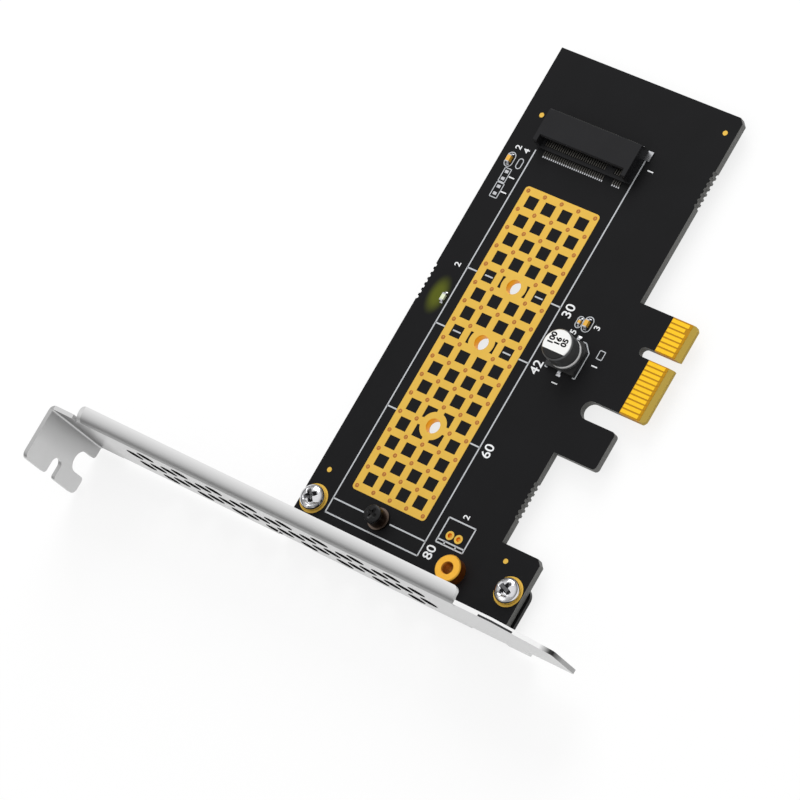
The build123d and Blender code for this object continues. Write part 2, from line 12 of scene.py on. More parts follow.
import bmesh
import bpy
import numpy as np
from mathutils import Matrix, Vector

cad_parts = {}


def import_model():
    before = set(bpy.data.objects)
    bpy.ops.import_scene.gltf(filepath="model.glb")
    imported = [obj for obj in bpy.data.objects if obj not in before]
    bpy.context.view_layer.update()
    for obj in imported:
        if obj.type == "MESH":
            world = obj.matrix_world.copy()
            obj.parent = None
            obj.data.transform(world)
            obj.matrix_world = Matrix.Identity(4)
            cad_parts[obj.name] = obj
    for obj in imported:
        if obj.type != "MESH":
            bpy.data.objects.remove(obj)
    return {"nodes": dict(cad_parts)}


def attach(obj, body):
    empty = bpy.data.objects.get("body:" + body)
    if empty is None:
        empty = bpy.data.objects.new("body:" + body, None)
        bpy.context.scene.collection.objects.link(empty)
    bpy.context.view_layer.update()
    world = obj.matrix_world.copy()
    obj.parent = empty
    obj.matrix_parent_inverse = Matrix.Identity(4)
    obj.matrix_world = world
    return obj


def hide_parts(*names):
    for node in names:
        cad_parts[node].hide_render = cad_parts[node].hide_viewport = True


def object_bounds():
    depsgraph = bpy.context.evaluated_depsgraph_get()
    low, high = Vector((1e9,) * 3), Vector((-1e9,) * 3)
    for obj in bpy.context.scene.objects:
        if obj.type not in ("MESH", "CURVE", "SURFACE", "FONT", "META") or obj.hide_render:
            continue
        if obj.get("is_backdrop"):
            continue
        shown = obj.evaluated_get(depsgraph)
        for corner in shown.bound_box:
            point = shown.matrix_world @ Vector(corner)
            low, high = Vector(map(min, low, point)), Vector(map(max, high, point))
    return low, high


LOG = logging.getLogger("adapter_card")

MM = 0.001
WELD = 1e-7
SLIVER = 1e-8
FULL_TURN = 2 * np.pi
# How far an added surface keeps clear of the solid beside it.
SKIN = 0.002

BOARD_FRONT = 0.785
BOARD_BACK = -0.785
COPPER_TOP = 0.835
# Between the board's two faces, so on its cut edges alone.
CUT_Z = (BOARD_BACK + 0.004, BOARD_FRONT - 0.004)
TONGUE_X = (-12.2, 8.2)
BAY_Y = 39.1
HOLE_X = (1.4, -10.6, -28.6)
POST = (-48.6, BAY_Y)
CAN = (-6.3, 21.0)
CAN_TOP = 6.485
CAN_TOP_Z = (CAN_TOP - 0.12, CAN_TOP + 1.0)
PLATE_X = -58.8
# Where the bracket's painted shade and painted highlight lie: flange, low end, tip, and the fade
# of the tip's dark corner.
FLANGE_Y = (6.6, 98.3)
FLANGE_Z = (15.55, 20.0)
LOW_END_Y = (-14.6, 6.59)
TIP_Y = (-14.6, -13.6)
TIP_FADE_Y = (-11.9, -13.9)
TIP_FADE_Z = (8.5, 12.4)

Socket = bpy.types.NodeSocket
Tree = bpy.types.NodeTree
Node = bpy.types.Node
Piece = bpy.types.Object
Span = tuple[float, float]
Point = tuple[float, float]
Place = tuple[float, float, float]
Box = tuple[float, float, float, float]
Colour = tuple[float, float, float, float]
Mark = tuple[str, float, float]
Lines = list[tuple[float, ...]]
Surface = tuple[np.ndarray, np.ndarray]


class Grain(Enum):
    """Direction along which a grain runs, as the scale of the pattern on each axis."""

    ALONG_Y = (1.0, 0.08, 1.0)
    NONE = (1.0, 1.0, 1.0)


class Facing(Enum):
    """Way that a face looks: a test of its normal, the normal's axis and the limit."""

    UP = ("GREATER_THAN", 2, 0.5)
    TO_TIP = ("LESS_THAN", 1, -0.4)


def linear(colour: str) -> Colour:
    """Turns an sRGB hex colour into linear light, by the two branches of the standard.

    Args:
        colour: six hex digits, red first.

    Returns:
        Red, green, blue and a full alpha.
    """
    parts = np.array([int(colour[i : i + 2], 16) for i in (0, 2, 4)]) / 255.0
    light = np.where(parts <= 0.04045, parts / 12.92, ((parts + 0.055) / 1.055) ** 2.4)
    return (*light.tolist(), 1.0)


def add_node(tree: Tree, kind: str, inputs: dict, **settings: object) -> Node:
    """Adds one shader node.

    Args:
        tree: node tree that takes the node.
        kind: Blender's name of the node type, without its ShaderNode prefix.
        inputs: for each input, by name or number, a value or the output that feeds it.
        settings: properties of the node itself.

    Returns:
        The new node.
    """
    node = tree.nodes.new("ShaderNode" + kind)
    for name, value in settings.items():
        setattr(node, name, value)
    for key, value in inputs.items():
        if isinstance(value, bpy.types.NodeSocket):
            tree.links.new(value, node.inputs[key])
        else:
            node.inputs[key].default_value = value
    return node


def paint(tree: Tree, under: Socket | Colour, mask: Socket, tone: str) -> Socket:
    """The colour under, covered by a tone as far as the mask nears one."""
    inputs = {0: mask, 6: under, 7: linear(tone)}
    return add_node(tree, "Mix", inputs, data_type="RGBA").outputs[2]


@dataclass(frozen=True)
class Patch:
    """A place on a piece with a tone of its own.

    It lies within the limits x, y and z, fades in from the first to the second limit of
    fade_x, fade_y and fade_z, and covers only the faces that look the given way.
    """

    tone: str
    x: Span | None = None
    y: Span | None = None
    z: Span | None = None
    fade_x: Span | None = None
    fade_y: Span | None = None
    fade_z: Span | None = None
    facing: Facing | None = None

    def mask(self, tree: Tree, place: Node) -> Socket:
        """Multiplies the limits, the fades and the facing.

        A limit is one where the distance from its middle is at most half its width, and a
        fade rises from nought to one.

        Args:
            tree: node tree of the material.
            place: texture coordinates of the piece.

        Returns:
            One inside the patch and nought outside.
        """
        axes = add_node(tree, "SeparateXYZ", {0: place.outputs["Object"]}).outputs
        tests = []
        for axis, span in zip(axes, (self.x, self.y, self.z)):
            if span is not None:
                near = {0: axis, 1: sum(span) / 2 * MM, 2: (span[1] - span[0]) / 2 * MM}
                tests.append(add_node(tree, "Math", near, operation="COMPARE"))
        for axis, span in zip(axes, (self.fade_x, self.fade_y, self.fade_z)):
            if span is not None:
                fade = {0: axis, 1: span[0] * MM, 2: span[1] * MM}
                tests.append(add_node(tree, "MapRange", fade))
        if self.facing is not None:
            test, axis, limit = self.facing.value
            normal = add_node(tree, "SeparateXYZ", {0: place.outputs["Normal"]}).outputs[axis]
            tests.append(add_node(tree, "Math", {0: normal, 1: limit}, operation=test))
        mask, *others = (test.outputs[0] for test in tests)
        for other in others:
            mask = add_node(tree, "Math", {0: mask, 1: other}, operation="MULTIPLY").outputs[0]
        return mask


@dataclass(frozen=True)
class Finish:
    """A surface with two close tones, a grain of real size and a fine relief.

    Tones are sRGB hex. grain is the size of a patch of tone, relief the size of a grain of
    the surface and depth its height, all in millimetres. spread is how far the roughness
    wanders, and patches are painted over the tones in turn.
    """

    name: str
    tone: str
    other: str
    metallic: float
    roughness: float
    grain: float = 2.0
    relief: float = 0.3
    depth: float = 0.004
    spread: float = 0.06
    along: Grain = Grain.NONE
    coat: float = 0.0
    specular: float = 0.5
    smoothest: float = 0.02
    tone_detail: float = 3.0
    relief_detail: float = 2.0
    patches: tuple[Patch, ...] = ()

    def tones(self, tree: Tree, place: Node, share: Socket) -> Socket:
        """The two tones, mixed by soft patches."""
        return paint(tree, linear(self.tone), share, self.other)

    def colour(self, tree: Tree, place: Node, share: Socket) -> Socket:
        """The tones with each patch painted over them in turn.

        Args:
            tree: node tree of the material.
            place: texture coordinates of the piece.
            share: how much of the second tone shows.

        Returns:
            The colour.
        """
        tint = self.tones(tree, place, share)
        for patch in self.patches:
            tint = paint(tree, tint, patch.mask(tree, place), patch.tone)
        return tint

    def glow(self, tree: Tree, place: Node, shader: Node) -> None:
        """Light that the surface gives off; none here."""

    def material(self) -> bpy.types.Material:
        """Builds the finish as a node material.

        Returns:
            The material, made once and then found again by its name.
        """
        found = bpy.data.materials.get(self.name)
        if found is not None:
            return found
        made = bpy.data.materials.new(self.name)
        made.use_nodes = True
        tree = made.node_tree
        shader = next(node for node in tree.nodes if node.type == "BSDF_PRINCIPLED")
        place = add_node(tree, "TexCoord", {})
        stretch = {0: place.outputs["Object"], "Scale": self.along.value}
        noise = {"Vector": add_node(tree, "Mapping", stretch).outputs[0]}
        share, fine = (
            add_node(tree, "TexNoise", noise | {"Scale": 1.0 / (size * MM), "Detail": detail})
            for size, detail in ((self.grain, self.tone_detail), (self.relief, self.relief_detail))
        )
        tint = self.colour(tree, place, share.outputs[0])
        tree.links.new(tint, shader.inputs["Base Color"])
        shader.inputs["Metallic"].default_value = self.metallic
        shader.inputs["Coat Weight"].default_value = self.coat
        shader.inputs["Specular IOR Level"].default_value = self.specular
        low = max(self.roughness - self.spread, self.smoothest)
        high = min(self.roughness + self.spread, 1.0)
        rough = add_node(tree, "MapRange", {0: fine.outputs[0], 3: low, 4: high}).outputs[0]
        tree.links.new(rough, shader.inputs["Roughness"])
        height = {"Height": fine.outputs[0], "Distance": self.depth * MM, "Strength": 1.0}
        bump = add_node(tree, "Bump", height).outputs[0]
        tree.links.new(bump, shader.inputs["Normal"])
        self.glow(tree, place, shader)
        return made


@dataclass(frozen=True)
class SolderMask(Finish):
    """Black liquid solder mask over glass laminate.

    It gives the eye an even, faintly grainy black with a soft gloss; cut edges show grey
    laminate, the contact tongue is bare brown between its contacts and on its walls, and
    a painted glow of the status light lies on the board beside it, which the board also
    emits a little of, though it is no lamp.
    """

    # Painted glow of the status light on the board: its tone, middle, reach, core and emitted
    # strength.
    light: str = "4E5414"
    painted_glow_at: Place = (-5.6, 53.0, BOARD_FRONT)
    painted_glow_reach: Place = (4.6, 2.5, 1.0)
    painted_glow_core: float = 0.25
    painted_glow_strength: float = 0.2
    patches: tuple[Patch, ...] = (
        # Cut edges of the laminate.
        Patch("6E6E6C", z=CUT_Z),
        # The bare tongue, its faces and walls, and then its bevel.
        Patch("B98418", x=TONGUE_X, y=(-1.0, 5.68)),
        Patch("B59A45", x=TONGUE_X, y=(-1.0, 1.1), z=CUT_Z),
    )

    def painted_glow_share(self, tree: Tree, place: Node) -> Socket:
        """Share of the painted glow: falls softly from one near the status light to nought at its
        reach.

        Args:
            tree: node tree of the material.
            place: texture coordinates of the board.

        Returns:
            The share of the painted glow.
        """
        shift = {0: place.outputs["Object"], 1: [value * MM for value in self.painted_glow_at]}
        apart = add_node(tree, "VectorMath", shift, operation="SUBTRACT").outputs[0]
        scale = {0: apart, 1: [1 / (value * MM) for value in self.painted_glow_reach]}
        scaled = add_node(tree, "VectorMath", scale, operation="MULTIPLY").outputs[0]
        far = add_node(tree, "VectorMath", {0: scaled}, operation="LENGTH").outputs[1]
        fall = {0: far, 1: self.painted_glow_core, 2: 1.0, 3: 1.0, 4: 0.0}
        return add_node(tree, "MapRange", fall, interpolation_type="SMOOTHSTEP").outputs[0]

    def tones(self, tree: Tree, place: Node, share: Socket) -> Socket:
        """Mask black with the painted glow of the status light; see Finish."""
        return paint(tree, super().tones(tree, place, share), self.painted_glow_share(tree, place), self.light)

    def glow(self, tree: Tree, place: Node, shader: Node) -> None:
        """Painted glow: the board emits a little of the status light's colour, though it is no
        lamp.

        Args:
            tree: node tree of the material.
            place: texture coordinates of the board.
            shader: the material's shader.
        """
        shader.inputs["Emission Color"].default_value = linear(self.light)
        faint = {0: self.painted_glow_share(tree, place), 1: self.painted_glow_strength}
        strength = add_node(tree, "Math", faint, operation="MULTIPLY").outputs[0]
        tree.links.new(strength, shader.inputs["Emission Strength"])


@dataclass(frozen=True)
class PlatedSteel(Finish):
    """Cold-rolled steel sheet under satin nickel plate.

    It gives the eye a pale even grey with a faint rolling grain along the sheet. Painted
    shade darkens the folds and the cut rim of the tab, and a painted highlight lightens
    the flange towards its free edge. The cut edge of the low end carries a painted
    highlight, with a dark line beside the low lug, and painted shade lies on the tip's end
    face and in a dark corner at the tip. The lugs under the board and the punched walls of
    the vents are painted black as shade.
    """

    patches: tuple[Patch, ...] = (
        # Flange: painted shade along its fold and a painted highlight towards its free edge.
        Patch("989898", y=FLANGE_Y, z=FLANGE_Z),
        Patch("E8E8E8", y=FLANGE_Y, z=FLANGE_Z, fade_x=(-58.75, -55.8)),
        # Painted shade at the fold of the tab, on the tab's top and on the plate's outer face.
        Patch("B0B0B0", y=(104.62, 110.0), fade_x=(-65.0, -59.2)),
        Patch("828282", x=(PLATE_X - 0.02, PLATE_X + 0.02), fade_y=(95.5, 103.8)),
        # Low end: painted highlight on its cut edge; painted shade on the tip's end and dark
        # corner.
        Patch("F4F4F4", y=LOW_END_Y, facing=Facing.UP),
        Patch("A4A4A4", y=TIP_Y, facing=Facing.TO_TIP),
        Patch("343434", y=LOW_END_Y, fade_y=TIP_FADE_Y, fade_z=TIP_FADE_Z, facing=Facing.UP),
        Patch("343434", y=TIP_Y, fade_y=TIP_FADE_Y, fade_z=TIP_FADE_Z, facing=Facing.TO_TIP),
        # Painted shade on the cut rim of the tab.
        Patch("B6B6B6", x=(-75.0, PLATE_X - 0.05), facing=Facing.UP),
        # Dark line on the upward faces beside the low lug.
        Patch("343436", x=(-59.0, -58.42), y=(-6.8, 0.3), facing=Facing.UP),
        # Painted shade: the lugs under the board, painted black.
        Patch("0E0E0F", x=(-57.3, -40.0), z=(-3.0, BOARD_BACK + 0.01)),
        # Painted shade on the walls of the vents, between the plate's two faces.
        Patch("0E0E0F", x=(-58.78, -57.96), y=(16.0, 90.5), z=(-0.6, 14.2)),
    )


@dataclass(frozen=True)
class HardGold(Finish):
    """Hard gold over nickel on the edge contacts.

    It gives the eye a bright warm yellow, a little streaked by wiping, and a dull brown
    end beside the bevel, where the plating is cut back.
    """

    patches: tuple[Patch, ...] = (Patch("BE8A20", y=(-1.0, 1.7)),)


@dataclass(frozen=True)
class TurnedBrass(Finish):
    """Free-cutting brass as it leaves the lathe.

    It gives the eye a bright yellow end face over a deep red-brown wall; the wall's darker
    tone is painted shade, for the dark board that it reflects.
    """

    # Painted shade on the wall below the end face.
    patches: tuple[Patch, ...] = (Patch("D07228", z=(-5.0, 2.86)),)


@dataclass(frozen=True)
class PlatedPost(Finish):
    """Steel post under dull bronze plate.

    It gives the eye a dark brown wall on a foot whose rim carries a painted highlight, a little
    brighter.
    """

    # Painted highlight on the rim of the foot.
    patches: tuple[Patch, ...] = (Patch("70635A", z=(1.06, 1.25)),)


@dataclass(frozen=True)
class CanSleeve(Finish):
    """Drawn aluminium can under grey lacquer, with a white printed top.

    It gives the eye a dark grey satin wall, a painted highlight on the bead near the foot
    and a white disc with one black segment that marks the negative lead.
    """

    patches: tuple[Patch, ...] = (
        # The bead's painted highlight, the white top and its black segment.
        Patch("E0E0E0", z=(2.3, 2.75)),
        Patch("F2F2F0", z=CAN_TOP_Z),
        Patch("101010", x=(-20.0, -7.75), z=CAN_TOP_Z),
    )


# In each finish: its name, two tones, metallic, roughness, and the sizes of patch, grain
# and relief in millimetres.
MASK = SolderMask(
    "black_solder_mask", "121213", "161618", 0.0, 0.5, 6.0, 0.35, 0.003, specular=0.1
)
CONTACT_GOLD = HardGold("hard_gold_contacts", "FFCF34", "F8C32C", 1.0, 0.34, 1.5, 0.12, 0.001)
# Immersion gold on rolled copper: satin, with a soft mottle.
GRID_GOLD = Finish("immersion_gold_copper", "E4BA50", "DAB046", 0.6, 0.5, 2.5, 0.2, 0.003)
# Gold over the drilled barrel: deeper and more orange, because it lies in shade.
BARREL_GOLD = Finish("barrel_gold", "FFB01C", "E08C10", 1.0, 0.35, 0.8, 0.15, 0.003)
# Rims of the heat vias: copper seen through thin gold, orange-brown.
VIA_COPPER = Finish("via_copper", "BE7434", "A8602A", 0.5, 0.5, 0.5, 0.1, 0.003)
# Filling of the heat vias: cured resin under thin gold, paler and duller than the rims.
VIA_FILL = Finish("via_fill", "CF9A4A", "BE8A3E", 0.4, 0.6, 0.5, 0.1, 0.002)
# Tin: soft white metal with the frosting of a reflowed joint.
TIN = Finish("reflowed_tin", "D2D3D6", "B8B9BD", 1.0, 0.32, 0.6, 0.12, 0.006)
# Liquid crystal polymer: moulded black, with the mould's fine spark texture.
SOCKET_BLACK = Finish(
    "moulded_socket_polymer", "1A1A1C", "1F1F21", 0.0, 0.46, 3.0, 0.15, 0.006, specular=0.15
)
# Tinned copper alloy: dull grey, as the socket's contacts look from outside.
PIN_TIN = Finish("stamped_tinned_pins", "5E5C58", "4A4845", 1.0, 0.42, 0.8, 0.1, 0.002)
BRONZE = PlatedPost("dull_bronze_plate", "4A3C32", "3A2F27", 1.0, 0.38, 1.5, 0.2, 0.003)
# Black oxide screw: nearly black with a soft gleam on its edges.
BLACK_OXIDE = Finish("black_oxide_steel", "1A1A1B", "121213", 0.6, 0.34, 0.8, 0.1, 0.003)
BRASS = TurnedBrass("turned_brass", "FCC04A", "F2B23C", 0.9, 0.3, 1.2, 0.12, 0.0006)
# Brass down in the threaded bore: brown, as little light comes out.
BORE_BRASS = Finish("brass_in_the_bore", "D89A44", "9C6426", 0.9, 0.3, 0.7, 0.12, 0.0006)
BRACKET = PlatedSteel(
    "satin_nickel_steel", "D0D0D0", "DADADA", 0.65, 0.34, 5.0, 0.25, 0.002, along=Grain.ALONG_Y
)
# Bright nickel on a rolled screw: mirror-like, with hard darks and lights.
BRIGHT_PLATE = Finish(
    "bright_nickel_screw", "E4E4E6", "D2D2D5", 1.0, 0.1, 1.0, 0.2, 0.001, spread=0.03
)
# Bright nickel down in the driven cross: dark, as little light comes out.
RECESS_NICKEL = Finish("nickel_in_the_cross", "5C5C5E", "747476", 1.0, 0.14, 0.5, 0.1, 0.002)
# Black oxide down in the driven cross: painted shade, the darkest place, with no gleam.
RECESS_OXIDE = Finish("oxide_in_the_cross", "080808", "0C0C0C", 0.5, 0.5, 0.5, 0.1, 0.002)
CAN_LACQUER = CanSleeve("lacquered_can", "5E5F60", "565758", 0.4, 0.4, 2.0, 0.2, 0.002)
# Moulded phenolic plinth: matt black, a little greyer where the mould was worn.
PLINTH = Finish("moulded_plinth", "151516", "1B1B1C", 0.0, 0.48, 1.5, 0.15, 0.004)
# Fired ceramic: dense, smooth, yellow-tan, without a gloss.
CERAMIC = Finish("fired_ceramic", "F0BA42", "E2A636", 0.0, 0.5, 0.4, 0.08, 0.004)
# Clear epoxy over a lit chip: pale green-white, wet-looking.
RESIN = Finish("clear_led_resin", "DCE6BE", "EEF4DA", 0.0, 0.18, 0.5, 0.2, 0.001, coat=0.5)
# Epoxy printing ink: flat white, slightly grey where it lies thin.
INK = Finish("printed_white_ink", "C6C9CC", "B6B9BD", 0.0, 0.6, 0.8, 0.12, 0.002)
# The same ink where the screen leaves it thick: flat and fully white.
NUMBER_INK = Finish("printed_number_ink", "F0F1F2", "E4E6E8", 0.0, 0.6, 0.8, 0.12, 0.002)
# Stamped black ink on the can's top: flat, without a gloss.
CAN_INK = Finish("black_can_ink", "0A0A0A", "101010", 0.0, 0.7, 0.5, 0.1, 0.002, specular=0.1)


def ring_faces(rows: int, columns: int) -> np.ndarray:
    """Quads between neighbouring rows of points, each of which closes to a ring.

    Args:
        rows: how many rings.
        columns: how many points each ring has.

    Returns:
        Four point numbers for each quad.
    """
    start = np.arange(rows - 1)[:, None] * columns
    here = np.arange(columns)
    after = (here + 1) % columns
    corners = [start + here, start + after, start + columns + after, start + columns + here]
    return np.stack(corners, -1).reshape(-1, 4)


def angles(count: int) -> np.ndarray:
    """Equal steps round a full turn, without its end."""
    return np.linspace(0, FULL_TURN, count, endpoint=False)


def thread_wave(height: np.ndarray, angle: np.ndarray, pitch: float) -> np.ndarray:
    """Triangle wave, nought to one, of the height in pitches plus the angle in turns."""
    return np.abs(((height / pitch + angle / FULL_TURN) % 1) * 2 - 1)


def round_points(
    radius: np.ndarray, height: np.ndarray, angle: np.ndarray, centre: Point
) -> np.ndarray:
    """Points about an upright axis: radius times the cosine and sine of the angle.

    Args:
        radius: one row for each level.
        height: height of each level or of each point.
        angle: angle of each column.
        centre: X and Y of the axis.

    Returns:
        One row of X, Y, Z for each point.
    """
    x = centre[0] + radius * np.cos(angle)
    y = centre[1] + radius * np.sin(angle)
    return np.stack([x, y, np.broadcast_to(height, x.shape)], -1).reshape(-1, 3)


def turned(profile: np.ndarray, centre: Point, segments: int) -> Surface:
    """Surface of revolution: a profile of radius and height about an upright axis."""
    points = round_points(profile[:, :1], profile[:, 1:], angles(segments), centre)
    return points, ring_faces(len(profile), segments)


def gathered(parts: list[Surface]) -> Surface:
    """Several surfaces as one.

    Args:
        parts: points and quads of each surface.

    Returns:
        One list of points and one of quads.
    """
    starts = np.cumsum([0] + [len(points) for points, _ in parts[:-1]])
    points = np.concatenate([points for points, _ in parts])
    faces = np.concatenate([faces + start for (_, faces), start in zip(parts, starts)])
    return points, faces


def slabs(lines: Lines, width: float, low: float, high: float) -> Surface:
    """Flat bars along straight lines.

    A bar's corners lie half its width to each side of the line's two ends, at both heights.

    Args:
        lines: X and Y of the start and of the end of each line.
        width: width of every bar.
        low: height of the underside.
        high: height of the top.

    Returns:
        Points and quads.
    """
    ends = np.array(lines)
    start, end = ends[:, :2], ends[:, 2:]
    along = (end - start) / np.linalg.norm(end - start, axis=1, keepdims=True)
    aside = np.stack([-along[:, 1], along[:, 0]], -1) * width / 2
    flat = np.stack([start - aside, end - aside, end + aside, start + aside], 1)
    flat = np.broadcast_to(flat[:, None], (len(ends), 2, 4, 2))
    heights = np.array([low, high])[None, :, None, None]
    heights = np.broadcast_to(heights, (len(ends), 2, 4, 1))
    points = np.concatenate([flat, heights], -1).reshape(-1, 3)
    sides = [[0, 1, 5, 4], [1, 2, 6, 5], [2, 3, 7, 6], [3, 0, 4, 7]]
    one = np.array([[3, 2, 1, 0], [4, 5, 6, 7], *sides])
    return points, (np.arange(len(ends))[:, None, None] * 8 + one).reshape(-1, 4)


def outline(path: np.ndarray, width: float, low: float, high: float) -> Surface:
    """Closed printed line along a ring of points.

    The line's four-cornered section is moved along the ring, its corners half the width to
    each side of the path along the mean of the two neighbouring edges' normals.

    Args:
        path: X and Y of the ring's points, in order.
        width: width of the line.
        low: height of its underside.
        high: height of its top.

    Returns:
        Points and quads.
    """
    edge = np.roll(path, -1, 0) - path
    edge /= np.linalg.norm(edge, axis=1, keepdims=True)
    normal = np.stack([-edge[:, 1], edge[:, 0]], -1)
    mean = normal + np.roll(normal, 1, 0)
    mean /= (mean * normal).sum(1, keepdims=True)
    inner, outer = path - mean * width / 2, path + mean * width / 2
    section = [(inner, low), (outer, low), (outer, high), (inner, high), (inner, low)]
    rows = [np.column_stack([flat, np.full(len(path), height)]) for flat, height in section]
    return np.concatenate(rows), ring_faces(len(rows), len(path))


def round_path(centre: Point, length: float, width: float, count: int) -> np.ndarray:
    """Ring of points with straight sides and half-round ends, lying along X.

    Each point is half the width times the cosine and sine of its angle, and half the
    straight length to the side that its cosine points to.

    Args:
        centre: X and Y of the middle.
        length: length over the round ends.
        width: distance of the straight sides.
        count: how many points.

    Returns:
        X and Y of each point.
    """
    angle = (np.arange(count) + 0.5) / count * FULL_TURN
    shift = np.sign(np.cos(angle)) * (length - width) / 2
    x = centre[0] + shift + np.cos(angle) * width / 2
    return np.column_stack([x, centre[1] + np.sin(angle) * width / 2])


def frame_lines(x: Span, y: Span) -> Lines:
    """The four sides of a rectangle, as lines that meet at its corners."""
    corners = [(x[0], y[0]), (x[1], y[0]), (x[1], y[1]), (x[0], y[1])]
    return [(*start, *end) for start, end in zip(corners, corners[1:] + corners[:1])]


def new_object(name: str, data: bpy.types.ID) -> Piece:
    """Puts an object that carries the data into the scene.

    Args:
        name: name of the object.
        data: its mesh, lamp or camera.

    Returns:
        The object, untransformed.
    """
    made = bpy.data.objects.new(name, data)
    bpy.context.scene.collection.objects.link(made)
    return made


def new_piece(name: str, mesh: bpy.types.Mesh, work: bmesh.types.BMesh, finish: Finish) -> Piece:
    """Writes a worked surface into a mesh and makes it a piece.

    Args:
        name: name of the piece.
        mesh: mesh that takes the surface.
        work: the surface; it is freed.
        finish: what the piece is made of.

    Returns:
        The object, which rides on the root body.
    """
    work.to_mesh(mesh)
    work.free()
    mesh.materials.append(finish.material())
    piece = new_object(name, mesh)
    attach(piece, "root")
    return piece


def mesh_piece(
    name: str, points: np.ndarray, faces: np.ndarray, finish: Finish, smooth: bool
) -> Piece:
    """Makes a piece from points in millimetres, welded and facing outwards.

    Args:
        name: name of the piece.
        points: one row of X, Y, Z for each point.
        faces: point numbers of each quad.
        finish: what it is made of.
        smooth: whether its faces are shaded smoothly.

    Returns:
        The object.
    """
    mesh = bpy.data.meshes.new(name)
    mesh.from_pydata((points * MM).tolist(), [], faces.tolist())
    work = bmesh.new()
    work.from_mesh(mesh)
    bmesh.ops.remove_doubles(work, verts=work.verts, dist=WELD)
    bmesh.ops.dissolve_degenerate(work, dist=SLIVER, edges=work.edges)
    bmesh.ops.recalc_face_normals(work, faces=work.faces)
    piece = new_piece(name, mesh, work, finish)
    mesh.polygons.foreach_set("use_smooth", np.full(len(mesh.polygons), smooth))
    return piece


@dataclass
class Numbers:
    """Plain printed numbers that read along X.

    labels holds the text, the X and Y of its middle and its height for each number, z is
    the height that the ink lies on, and bold is how far the strokes spread on each side.
    """

    name: str
    labels: list[tuple[str, float, float, float]]
    z: float
    finish: Finish
    bold: float
    half_ink: float = 0.006
    digit_share: float = 0.7
    curve_steps: int = 4

    def build(self) -> Piece:
        """Turns each number into a mesh, moves it to its place and gathers them all.

        Returns:
            The piece.
        """
        work = bmesh.new()
        for text, x, y, size in self.labels:
            curve = bpy.data.curves.new(self.name + "_line", "FONT")
            curve.body = text
            curve.align_x = "CENTER"
            curve.align_y = "CENTER"
            curve.size = size / self.digit_share * MM
            curve.resolution_u = self.curve_steps
            curve.offset = self.bold * MM
            curve.extrude = self.half_ink * MM
            carrier = bpy.data.objects.new(self.name + "_line", curve)
            flat = bpy.data.meshes.new_from_object(carrier)
            flat.transform(Matrix.Translation((x * MM, y * MM, (self.z + self.half_ink) * MM)))
            work.from_mesh(flat)
            bpy.data.objects.remove(carrier)
            bpy.data.meshes.remove(flat)
        bmesh.ops.remove_doubles(work, verts=work.verts, dist=WELD)
        return new_piece(self.name, bpy.data.meshes.new(self.name), work, self.finish)


def report(piece: Piece, slot: str, *nodes: str) -> None:
    """Hides any CAD node that a new piece stands for, and logs the piece.

    Args:
        piece: the new piece.
        slot: not used.
        nodes: CAD nodes that the piece replaces.
    """
    if nodes:
        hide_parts(*nodes)
    LOG.info("%s: %d faces", piece.name, len(piece.data.polygons))


@dataclass
class SubAssembly:
    """A part of the card, with the CAD nodes to dress."""

    nodes: dict[str, Piece]

    def dress(self, finish: Finish, *names: str) -> None:
        """Gives CAD nodes their finish and logs it.

        Args:
            finish: what the nodes are made of.
            names: names of the nodes.
        """
        for name in names:
            mesh = self.nodes[name].data
            mesh.materials.clear()
            mesh.materials.append(finish.material())
            LOG.info("%s: %s", name, finish.name)


